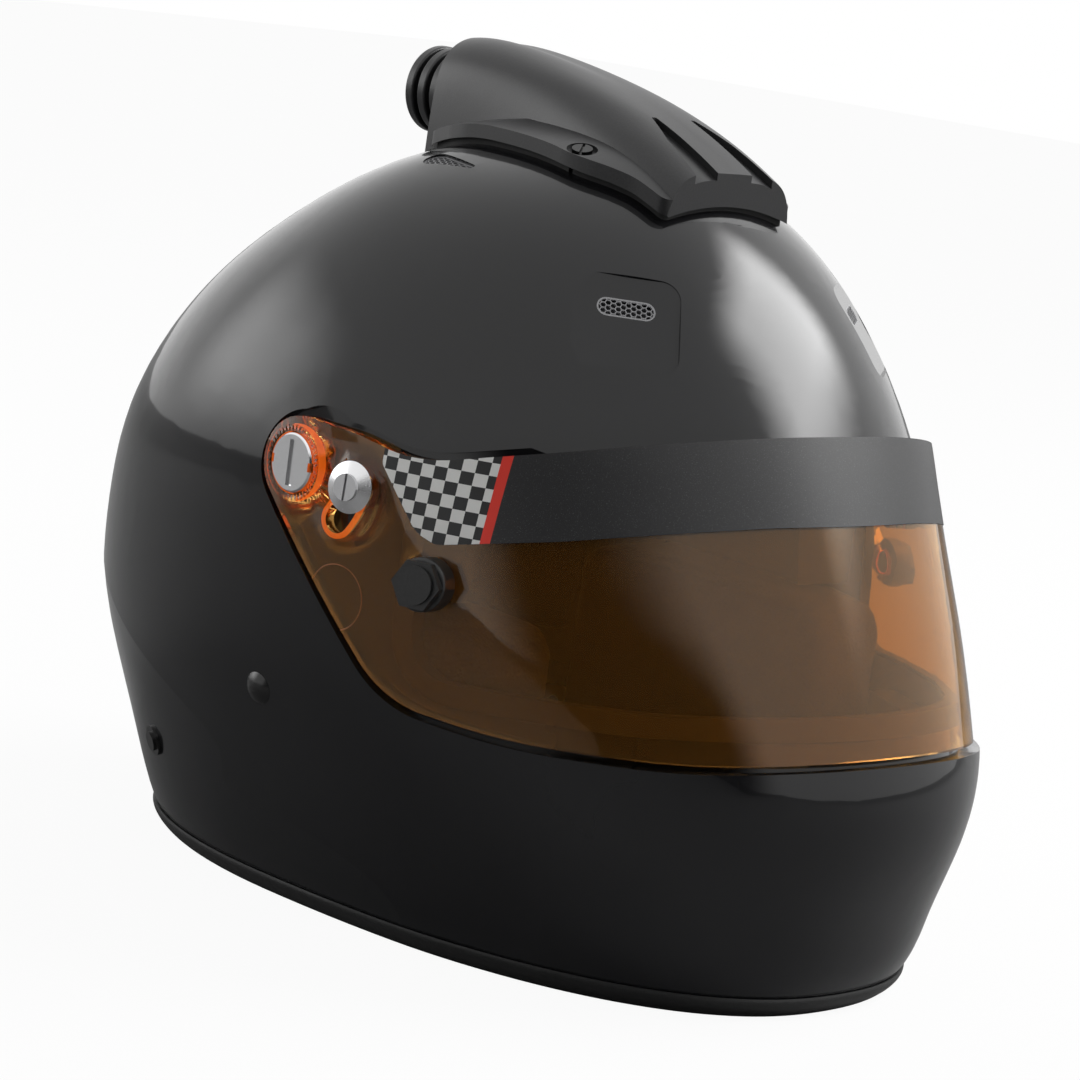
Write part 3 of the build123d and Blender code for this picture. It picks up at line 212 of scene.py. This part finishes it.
def strip_film(chequer_size, chequer_end_y, stripe_width):
    """Satin black film with fine painted glints (lighter specks in its colour), chequered at both
    ends behind a red stripe.
    """
    black, roughness = (0.014, 0.014, 0.015), 0.40
    material, tree, output = new_material("strip_film")
    shader = principled(tree, output, black, roughness)
    add_grain(tree, shader, 2600.0, roughness, 0.16, 0.10)
    parts = tree.nodes.new("ShaderNodeSeparateXYZ")
    tree.links.new(object_coordinates(tree), parts.inputs["Vector"])
    side_view = tree.nodes.new("ShaderNodeCombineXYZ")
    side_view.inputs["X"].default_value = chequer_size / 2
    tree.links.new(parts.outputs["Y"], side_view.inputs["Y"])
    tree.links.new(parts.outputs["Z"], side_view.inputs["Z"])
    chequer = tree.nodes.new("ShaderNodeTexChecker")
    chequer.inputs["Scale"].default_value = 1.0 / chequer_size
    chequer.inputs["Color1"].default_value = (0.78, 0.78, 0.76, 1.0)
    chequer.inputs["Color2"].default_value = (*black, 1.0)
    tree.links.new(side_view.outputs["Vector"], chequer.inputs["Vector"])
    # Painted glints: a fine noise lightens specks of the colour to stand in for the film's sparkle.
    noise = tree.nodes.new("ShaderNodeTexNoise")
    noise.inputs["Scale"].default_value = 3000.0
    noise.inputs["Detail"].default_value = 2.0
    tree.links.new(object_coordinates(tree), noise.inputs["Vector"])
    painted_glints = tree.nodes.new("ShaderNodeValToRGB")
    painted_glints.color_ramp.elements[0].position = 0.60
    painted_glints.color_ramp.elements[0].color = (0.013, 0.013, 0.014, 1.0)
    painted_glints.color_ramp.elements[1].position = 0.80
    painted_glints.color_ramp.elements[1].color = (0.10, 0.10, 0.105, 1.0)
    tree.links.new(noise.outputs["Fac"], painted_glints.inputs["Fac"])
    color = painted_glints.outputs["Color"]
    red = tree.nodes.new("ShaderNodeRGB")
    red.outputs["Color"].default_value = (0.78, 0.045, 0.028, 1.0)
    for limit, layer in (
        (chequer_end_y - stripe_width, red.outputs["Color"]),
        (chequer_end_y, chequer.outputs["Color"]),
    ):
        behind = tree.nodes.new("ShaderNodeMath")
        behind.operation = "GREATER_THAN"
        behind.inputs[1].default_value = limit
        tree.links.new(parts.outputs["Y"], behind.inputs[0])
        layers = tree.nodes.new("ShaderNodeMix")
        layers.data_type = "RGBA"
        tree.links.new(behind.outputs["Value"], layers.inputs["Factor"])
        tree.links.new(color, layers.inputs["A"])
        tree.links.new(layer, layers.inputs["B"])
        color = layers.outputs["Result"]
    tree.links.new(color, shader.inputs["Base Color"])
    return material


def brushed(name, color, roughness, scale=1600.0):
    """A machined metal with fine streaks."""
    material, tree, output = new_material(name)
    shader = principled(tree, output, color, roughness, metallic=1.0)
    add_grain(tree, shader, scale, roughness, 0.12, 0.06)
    return material


def woven(name, dark, light, pitch):
    """A woven or knitted fabric on object coordinates."""
    material, tree, output = new_material(name)
    shader = principled(tree, output, dark, 0.85)
    shader.inputs["Sheen Weight"].default_value = 0.08
    shader.inputs["Sheen Roughness"].default_value = 0.5
    weave = tree.nodes.new("ShaderNodeTexVoronoi")
    weave.inputs["Scale"].default_value = 1.0 / pitch
    tree.links.new(object_coordinates(tree), weave.inputs["Vector"])
    bump = tree.nodes.new("ShaderNodeBump")
    bump.inputs["Distance"].default_value = 0.6 * MM
    bump.inputs["Strength"].default_value = 0.7
    tree.links.new(weave.outputs["Distance"], bump.inputs["Height"])
    tree.links.new(bump.outputs["Normal"], shader.inputs["Normal"])
    tint(tree, shader, weave.outputs["Distance"], light, dark)
    return material


finishes = {
    "shell_gloss": gloss_shell(),
    "trim_rubber": plastic("trim_rubber", (0.012, 0.012, 0.012), (0.018, 0.018, 0.018), 0.42),
    "gasket_rubber": plastic("gasket_rubber", (0.02, 0.02, 0.02), (0.03, 0.03, 0.03), 0.6),
    "impact_foam": plastic(
        "bead_foam", (0.03, 0.03, 0.032), (0.05, 0.05, 0.053), 0.8, 260.0, 0.1, 0.5
    ),
    "lining_fabric": woven("lining_knit", (0.012, 0.012, 0.013), (0.03, 0.03, 0.032), 0.0012),
    "shield_amber": amber_shield(),
    "strip_black": strip_film(chequer_size=4.2 * MM, chequer_end_y=-78 * MM, stripe_width=3 * MM),
    "fitting_black": plastic("fitting_plastic", (0.010, 0.010, 0.010), (0.016, 0.016, 0.016), 0.38),
    "steel": brushed("satin_steel", (0.56, 0.56, 0.57), 0.3),
    "steel_dark": brushed("black_oxide_steel", (0.05, 0.05, 0.05), 0.35),
    "aluminium": brushed("turned_aluminium", (0.82, 0.82, 0.83), 0.22),
    "washer_bright": brushed("washer_aluminium", (0.78, 0.78, 0.79), 0.25),
    "rivet_black": plastic("rivet_paint", (0.010, 0.010, 0.010), (0.014, 0.014, 0.014), 0.22),
    "webbing": woven("strap_webbing", (0.012, 0.012, 0.013), (0.03, 0.03, 0.03), 0.0011),
    "mesh_grey": plastic("mesh_plastic", (0.30, 0.30, 0.31), (0.36, 0.36, 0.37), 0.4),
    "scoop_satin": plastic(
        "inlet_plastic", (0.014, 0.014, 0.015), (0.022, 0.022, 0.023), 0.36, 1500.0
    ),
    "gasket_foam": plastic(
        "closed_cell_foam", (0.014, 0.014, 0.014), (0.02, 0.02, 0.02), 0.85, 700.0, 0.1, 0.4
    ),
}

slot_of_node = {row["node"]: row["material_slot"] for row in frame["record"]["subparts"]}
for name, node in nodes.items():
    node.data.materials.clear()
    node.data.materials.append(finishes[slot_of_node[name]])


# Smooth skins over CAD nodes whose finish shows every facet

SAME_POINT = 0.005 * MM


def merged_copy(node_name):
    """A bmesh of a CAD node with its loose triangles joined."""
    mesh = bmesh.new()
    mesh.from_mesh(nodes[node_name].data)
    bmesh.ops.remove_doubles(mesh, verts=mesh.verts, dist=SAME_POINT)
    return mesh


def piece_from(mesh, name):
    """A new piece that holds a bmesh."""
    data = bpy.data.meshes.new(name)
    mesh.to_mesh(data)
    mesh.free()
    piece = bpy.data.objects.new(name, data)
    bpy.context.collection.objects.link(piece)
    return piece


def narrow_regions(mesh, corner, width):
    """The faces of every smooth region, between sharp corners, that is narrower than width."""
    narrow = []
    seen = set()
    for start in mesh.faces:
        if start in seen:
            continue
        seen.add(start)
        region, waiting, area, border = [], [start], 0.0, 0.0
        while waiting:
            face = waiting.pop()
            region.append(face)
            area += face.calc_area()
            for edge in face.edges:
                if len(edge.link_faces) == 2 and edge.calc_face_angle() < corner:
                    for other in edge.link_faces:
                        if other not in seen:
                            seen.add(other)
                            waiting.append(other)
                else:
                    border += edge.calc_length()
        if border and 2 * area / border < width:
            narrow.extend(region)
    return narrow


def skin_over(name, node_name, body, materials, corner_degrees=32, edge_width=None, holes=()):
    """A smooth-shaded copy of a CAD node; its narrow edge faces may take a second material."""
    mesh = merged_copy(node_name)
    for vertex in mesh.verts:
        out = vertex.co.yz - HINGE
        for radius, wider in holes:
            if abs(out.length - radius) < HOLE_REACH:
                vertex.co.yz = HINGE + out * (wider / out.length)
    corner = math.radians(corner_degrees)
    if edge_width:
        for face in narrow_regions(mesh, corner, edge_width):
            face.material_index = 1
    piece = piece_from(mesh, name)
    piece.data.shade_smooth()
    piece.data.set_sharp_from_angle(angle=corner)
    for material in materials:
        piece.data.materials.append(material)
    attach(piece, body)
    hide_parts(node_name)
    return piece


# The hinge in side view, and its holes widened a little so that no facet of a hole cuts
# into the screw that turns in it.
HINGE = Vector((-6.0, 158.5)) * MM
HOLE_REACH = 0.12 * MM
HINGE_HOLES = ((5.06 * MM, 5.2 * MM), (10.3 * MM, 10.5 * MM))
LENS = skin_over(
    "shield_lens", "face_shield", "shield", (finishes["shield_amber"], amber_edge_glow()),
    edge_width=2.2 * MM, holes=HINGE_HOLES,
)

MARK_CENTRE = Vector((-30.2, 117.9)) * MM
MARK_RADIUS = 11.0 * MM
MARK_LINE = 0.14 * MM
MARK_STEPS = 96
MARK_SIDES = 6


def mould_mark(name, side):
    """The fine round line that the mould left on one side of the shield, up to its edge."""
    lens = BVHTree.FromPolygons(
        [vertex.co[:] for vertex in LENS.data.vertices],
        [polygon.vertices[:] for polygon in LENS.data.polygons],
    )
    mesh = bmesh.new()
    rings = []
    for step in range(MARK_STEPS):
        turn = math.tau * step / MARK_STEPS
        out = Vector((0.0, math.cos(turn), math.sin(turn)))
        start = Vector((side, *MARK_CENTRE)) + out * MARK_RADIUS
        place = lens.ray_cast(start, Vector((-side, 0.0, 0.0)))[0]
        if place is None or place.x * side < 0:
            rings.append(None)
            continue
        rings.append([
            mesh.verts.new(
                place + MARK_LINE * (
                    out * math.cos(math.tau * corner / MARK_SIDES)
                    + Vector((side, 0.0, 0.0)) * math.sin(math.tau * corner / MARK_SIDES)
                )
            )
            for corner in range(MARK_SIDES)
        ])
    for step, ring in enumerate(rings):
        following = rings[(step + 1) % MARK_STEPS]
        if ring is None or following is None:
            continue
        for corner in range(MARK_SIDES):
            beside = (corner + 1) % MARK_SIDES
            mesh.faces.new((ring[corner], ring[beside], following[beside], following[corner]))
    bmesh.ops.recalc_face_normals(mesh, faces=mesh.faces)
    piece = piece_from(mesh, name)
    piece.data.shade_smooth()
    piece.data.materials.append(MARK_FINISH)
    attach(piece, "shield")


MARK_FINISH = plastic("mould_line", (0.30, 0.09, 0.015), (0.34, 0.11, 0.02), 0.3)
mould_mark("mould_mark_right", -1.0)
mould_mark("mould_mark_left", 1.0)


# Padding: each pad starts from the space that its CAD solid holds

SAME_PAD_POINT = 0.05 * MM
CLOTH_MASS = 0.3
CLOTH_STEPS = 15
CLOTH_PRESSURE = 3.0


def settled(piece):
    """Applies a piece's modifiers to its mesh."""
    depsgraph = bpy.context.evaluated_depsgraph_get()
    data = bpy.data.meshes.new_from_object(piece.evaluated_get(depsgraph))
    piece.modifiers.clear()
    old = piece.data
    piece.data = data
    bpy.data.meshes.remove(old)
    return piece


def swollen(piece, pressure, cap):
    """Blows a pad up like stuffed cloth, moving no point by more than cap."""
    before = [vertex.co.copy() for vertex in piece.data.vertices]
    cloth = piece.modifiers.new("cloth", "CLOTH")
    cloth.settings.use_pressure = True
    cloth.settings.uniform_pressure_force = pressure
    cloth.settings.effector_weights.gravity = 0.0
    cloth.settings.mass = CLOTH_MASS
    scene = bpy.context.scene
    for step in range(1, CLOTH_STEPS + 1):
        scene.frame_set(step)
    settled(piece)
    for vertex, start in zip(piece.data.vertices, before):
        move = vertex.co - start
        if move.length > cap:
            vertex.co = start + move * (cap / move.length)
    scene.frame_set(1)


def pad_from_node(name, node_name, voxel, rounds, shrink, seams=()):
    """A soft pad in the space of one CAD node: rounded, swollen, with sewn channels."""
    mesh = bmesh.new()
    mesh.from_mesh(nodes[node_name].data)
    bmesh.ops.remove_doubles(mesh, verts=mesh.verts, dist=SAME_PAD_POINT)
    piece = piece_from(mesh, name)
    remesh = piece.modifiers.new("remesh", "REMESH")
    remesh.mode = "VOXEL"
    remesh.voxel_size = voxel
    settled(piece)
    mesh = bmesh.new()
    mesh.from_mesh(piece.data)
    for _ in range(rounds):
        bmesh.ops.smooth_vert(
            mesh, verts=mesh.verts, factor=0.5, use_axis_x=True, use_axis_y=True, use_axis_z=True
        )
    mesh.normal_update()
    for vertex in mesh.verts:
        vertex.co -= vertex.normal * shrink
    mesh.to_mesh(piece.data)
    mesh.free()
    swollen(piece, CLOTH_PRESSURE, shrink)
    for vertex in piece.data.vertices:
        for axis, place, width, depth in seams:
            reach = abs(vertex.co[axis] - place)
            if reach < width:
                vertex.co -= vertex.normal * depth * math.cos(reach / width * math.pi / 2) ** 2
    for face in piece.data.polygons:
        face.use_smooth = True
    surface = piece.modifiers.new("surface", "SUBSURF")
    surface.levels = 1
    surface.render_levels = 1
    piece.data.materials.clear()
    piece.data.materials.append(finishes["lining_fabric"])
    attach(piece, "helmet")
    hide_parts(node_name)
    return piece


SEAM = (3.5 * MM, 2.2 * MM)
pad_from_node(
    "comfort_liner_pad", "comfort_liner", 3.5 * MM, 3, 0.8 * MM,
    seams=[(0, x, *SEAM) for x in (-0.055, 0.0, 0.055)] + [(1, 0.06, *SEAM), (2, 0.16, *SEAM)],
)
pad_from_node("brow_pad_cushion", "brow_pad", 3.0 * MM, 3, 0.8 * MM)
for side in ("left", "right"):
    pad_from_node(
        f"cheek_cushion_{side}", f"cheek_pad_{side}", 3.5 * MM, 5, 0.8 * MM,
        seams=[(2, 0.070, *SEAM)],
    )
pad_from_node("neck_roll_cushion", "neck_roll", 3.5 * MM, 5, 0.8 * MM, seams=[(0, 0.0, *SEAM)])


# Chin strap: the straps' own outline with soft selvedges and ribs, and a sewn box at each top

STRAP_MIDDLE_Y = 4.7 * MM
STRAP_HALF_WIDTH = 12.0 * MM
STRAP_HALF_THICKNESS = 1.0 * MM
RIB_PITCH = 1.0 * MM
RIB_DEPTH = 0.07 * MM
SELVEDGE_DEPTH = 0.45 * MM
SELVEDGE_POWER = 10
STRAP_CORNER = math.radians(55)


def webbing_from_node(name, node_name):
    """Woven webbing in the space of a strap: ribs along it, thinner towards both edges."""
    mesh = merged_copy(node_name)
    ribs = int(STRAP_HALF_WIDTH / RIB_PITCH)
    for rib in range(1 - ribs, ribs):
        bmesh.ops.bisect_plane(
            mesh, geom=mesh.verts[:] + mesh.edges[:] + mesh.faces[:], dist=1e-6,
            plane_co=(0.0, STRAP_MIDDLE_Y + rib * RIB_PITCH, 0.0), plane_no=(0.0, 1.0, 0.0),
        )
    mesh.normal_update()
    for vertex in mesh.verts:
        across = (vertex.co.y - STRAP_MIDDLE_Y) / RIB_PITCH
        edge = abs(across * RIB_PITCH / STRAP_HALF_WIDTH) ** SELVEDGE_POWER
        valley = round(across) % 2
        vertex.co -= vertex.normal * (SELVEDGE_DEPTH * edge + RIB_DEPTH * valley)
    piece = piece_from(mesh, name)
    piece.data.shade_smooth()
    piece.data.set_sharp_from_angle(angle=STRAP_CORNER)
    piece.data.materials.append(finishes["webbing"])
    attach(piece, "chin_strap")
    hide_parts(node_name)
    return piece


webbing_from_node("strap_webbing_long", "chin_strap_long")
webbing_from_node("strap_webbing_short", "chin_strap_short")

STITCH_SIZE = Vector((0.28, 0.85, 0.28)) * MM
STITCH_PITCH = 2.4 * MM
SEWN_BOX_HALF = 8.4 * MM
SEWN_BOX_START = 5.0 * MM
SEWN_BOX_END = 17.0 * MM


def sewn_box(mesh, top, foot):
    """Stitches in a box on both faces of a strap's leg that runs from top to foot."""
    along = (foot - top).normalized()
    face = along.cross(Vector((0.0, 1.0, 0.0)))
    across_turn = Matrix((along, Vector((0.0, 1.0, 0.0)), face)).transposed().to_4x4()
    along_turn = Matrix((Vector((0.0, 1.0, 0.0)), along, face)).transposed().to_4x4()
    spots = []
    steps = int(SEWN_BOX_HALF / STITCH_PITCH)
    for reach in (SEWN_BOX_START, SEWN_BOX_END):
        spots += [(reach, step * STITCH_PITCH, across_turn) for step in range(-steps, steps + 1)]
    rows = int((SEWN_BOX_END - SEWN_BOX_START) / STITCH_PITCH)
    for side in (-SEWN_BOX_HALF, SEWN_BOX_HALF):
        spots += [
            (SEWN_BOX_START + row * STITCH_PITCH, side, along_turn) for row in range(rows + 1)
        ]
    for reach, across, turn in spots:
        for lift in (-STRAP_HALF_THICKNESS, STRAP_HALF_THICKNESS):
            place = top + along * reach + face * lift + Vector((0.0, across, 0.0))
            bmesh.ops.create_icosphere(
                mesh, subdivisions=1, radius=1.0,
                matrix=Matrix.Translation(place) @ turn @ Matrix.Diagonal((*STITCH_SIZE, 1.0)),
            )


LEG_TOP = Vector((110.5, 4.7, 56.5)) * MM
LONG_LEG_FOOT = Vector((86.0, 4.7, 13.0)) * MM
SHORT_LEG_FOOT = Vector((86.0, 4.7, 19.6)) * MM
FLIP = Vector((-1.0, 1.0, 1.0))
thread = bmesh.new()
sewn_box(thread, LEG_TOP * FLIP, LONG_LEG_FOOT * FLIP)
sewn_box(thread, LEG_TOP, SHORT_LEG_FOOT)
stitches = piece_from(thread, "strap_stitches")
stitches.data.shade_smooth()
stitches.data.materials.append(finishes["webbing"])
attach(stitches, "chin_strap")


# Floor, world, lamps and camera

HEAD = Vector((0.0, 0.0, 0.15))
FILL_STRENGTH = 0.35
BACKDROP_STRENGTH = 1.0

# The floor is pale, and darker where the lacquer mirrors it, as in the photo's cut-out. To
# the camera most of it glows white, and the rest takes the helmet's shadow.
FLOOR_REACH = 6.0
FLOOR_TONE = 0.93
FLOOR_MIRRORED = 0.28
FLOOR_ROUGHNESS = 0.7
FLOOR_GLOW_SHARE = 0.94


def floor():
    """A plain pale floor that runs out of view."""
    mesh = bmesh.new()
    bmesh.ops.create_grid(mesh, x_segments=1, y_segments=1, size=FLOOR_REACH)
    piece = piece_from(mesh, "floor")
    material, tree, output = new_material("studio_floor")
    shader = principled(tree, output, (FLOOR_TONE, FLOOR_TONE, FLOOR_TONE), FLOOR_ROUGHNESS)
    rays = tree.nodes.new("ShaderNodeLightPath")
    glow = tree.nodes.new("ShaderNodeEmission")
    glow.inputs["Color"].default_value = (1.0, 1.0, 1.0, 1.0)
    mix = tree.nodes.new("ShaderNodeMixShader")
    share = tree.nodes.new("ShaderNodeMath")
    share.operation = "MULTIPLY"
    share.inputs[1].default_value = FLOOR_GLOW_SHARE
    tree.links.new(rays.outputs["Is Camera Ray"], share.inputs[0])
    mirrored = tree.nodes.new("ShaderNodeMath")
    mirrored.operation = "MULTIPLY_ADD"
    mirrored.inputs[1].default_value = FLOOR_MIRRORED - FLOOR_TONE
    mirrored.inputs[2].default_value = FLOOR_TONE
    tree.links.new(rays.outputs["Is Glossy Ray"], mirrored.inputs[0])
    tree.links.new(mirrored.outputs["Value"], shader.inputs["Base Color"])
    tree.links.new(share.outputs["Value"], mix.inputs["Fac"])
    tree.links.new(shader.outputs["BSDF"], mix.inputs[1])
    tree.links.new(glow.outputs["Emission"], mix.inputs[2])
    tree.links.new(mix.outputs["Shader"], output.inputs["Surface"])
    piece.data.materials.append(material)


def world():
    """Soft grey fill, with a white backdrop for the camera, gloss and glass."""
    scene_world = bpy.data.worlds.new("studio")
    scene_world.use_nodes = True
    tree = scene_world.node_tree
    tree.nodes.clear()
    output = tree.nodes.new("ShaderNodeOutputWorld")
    fill = tree.nodes.new("ShaderNodeBackground")
    fill.inputs["Color"].default_value = (1.0, 1.0, 1.0, 1.0)
    fill.inputs["Strength"].default_value = FILL_STRENGTH
    backdrop = tree.nodes.new("ShaderNodeBackground")
    backdrop.inputs["Color"].default_value = (1.0, 1.0, 1.0, 1.0)
    backdrop.inputs["Strength"].default_value = BACKDROP_STRENGTH
    rays = tree.nodes.new("ShaderNodeLightPath")
    share = rays.outputs["Is Camera Ray"]
    for kind in ("Is Glossy Ray", "Is Transmission Ray"):
        either = tree.nodes.new("ShaderNodeMath")
        either.operation = "MAXIMUM"
        tree.links.new(share, either.inputs[0])
        tree.links.new(rays.outputs[kind], either.inputs[1])
        share = either.outputs["Value"]
    mix = tree.nodes.new("ShaderNodeMixShader")
    tree.links.new(share, mix.inputs["Fac"])
    tree.links.new(fill.outputs["Background"], mix.inputs[1])
    tree.links.new(backdrop.outputs["Background"], mix.inputs[2])
    tree.links.new(mix.outputs["Shader"], output.inputs["Surface"])
    bpy.context.scene.world = scene_world


def soft_panel(name, direction, distance, size, strength, soft=0.6):
    """A soft-edged panel that faces the helmet, lit or black, which the camera looks through."""
    mesh = bmesh.new()
    bmesh.ops.create_grid(mesh, x_segments=1, y_segments=1, size=0.5)
    bmesh.ops.scale(mesh, vec=(size[0], size[1], 1.0), verts=mesh.verts)
    panel = piece_from(mesh, name)
    aim = Vector(direction).normalized()
    panel.location = HEAD + aim * distance
    panel.rotation_euler = aim.to_track_quat("Z", "Y").to_euler()
    material, tree, output = new_material(name)
    parts = tree.nodes.new("ShaderNodeSeparateXYZ")
    tree.links.new(object_coordinates(tree), parts.inputs["Vector"])
    fades = []
    for axis, length in (("X", size[0]), ("Y", size[1])):
        reach = tree.nodes.new("ShaderNodeMath")
        reach.operation = "ABSOLUTE"
        tree.links.new(parts.outputs[axis], reach.inputs[0])
        fade = tree.nodes.new("ShaderNodeMapRange")
        fade.interpolation_type = "SMOOTHSTEP"
        fade.inputs["From Min"].default_value = length / 2
        fade.inputs["From Max"].default_value = length / 2 * (1 - soft)
        tree.links.new(reach.outputs["Value"], fade.inputs["Value"])
        fades.append(fade.outputs["Result"])
    body = tree.nodes.new("ShaderNodeMath")
    body.operation = "MULTIPLY"
    tree.links.new(fades[0], body.inputs[0])
    tree.links.new(fades[1], body.inputs[1])
    rays = tree.nodes.new("ShaderNodeLightPath")
    unseen = tree.nodes.new("ShaderNodeMath")
    unseen.operation = "SUBTRACT"
    unseen.inputs[0].default_value = 1.0
    tree.links.new(rays.outputs["Is Camera Ray"], unseen.inputs[1])
    share = tree.nodes.new("ShaderNodeMath")
    share.operation = "MULTIPLY"
    tree.links.new(body.outputs["Value"], share.inputs[0])
    tree.links.new(unseen.outputs["Value"], share.inputs[1])
    glow = tree.nodes.new("ShaderNodeEmission")
    glow.inputs["Strength"].default_value = strength
    clear = tree.nodes.new("ShaderNodeBsdfTransparent")
    mix = tree.nodes.new("ShaderNodeMixShader")
    tree.links.new(share.outputs["Value"], mix.inputs["Fac"])
    tree.links.new(clear.outputs["BSDF"], mix.inputs[1])
    tree.links.new(glow.outputs["Emission"], mix.inputs[2])
    tree.links.new(mix.outputs["Shader"], output.inputs["Surface"])
    panel.data.materials.append(material)


CAMERA_PLACE = Vector((-0.9263, -0.8861, 0.3461))
CAMERA_RIGHT = Vector((0.70224, -0.69921, 0.13394))
CAMERA_UP = Vector((0.02643, 0.21361, 0.97655))
CAMERA_BACK = Vector((-0.71144, -0.68224, 0.16849))
CAMERA_LENS = 120.03
SENSOR_WIDTH = 36.0
NEAREST_SEEN = 0.05


def camera():
    """The photograph's viewpoint."""
    lens = bpy.data.cameras.new("camera")
    lens.lens = CAMERA_LENS
    lens.sensor_width = SENSOR_WIDTH
    lens.clip_start = NEAREST_SEEN
    eye = bpy.data.objects.new("camera", lens)
    turn = Matrix((CAMERA_RIGHT, CAMERA_UP, CAMERA_BACK)).transposed()
    eye.matrix_world = Matrix.Translation(CAMERA_PLACE) @ turn.to_4x4()
    bpy.context.collection.objects.link(eye)
    bpy.context.scene.camera = eye


floor()
world()
camera()
soft_panel("panel_rear", (-0.52, 0.84, 0.30), 1.7, (1.7, 1.2), 3.4, soft=0.85)
soft_panel("panel_front", (0.67, -0.36, 0.64), 1.8, (1.6, 1.3), 9.0)
soft_panel("dark_flag", (-0.71, -0.68, 0.05), 1.6, (2.6, 1.7), 0.0, soft=0.5)

bpy.context.scene.view_settings.view_transform = "Standard"
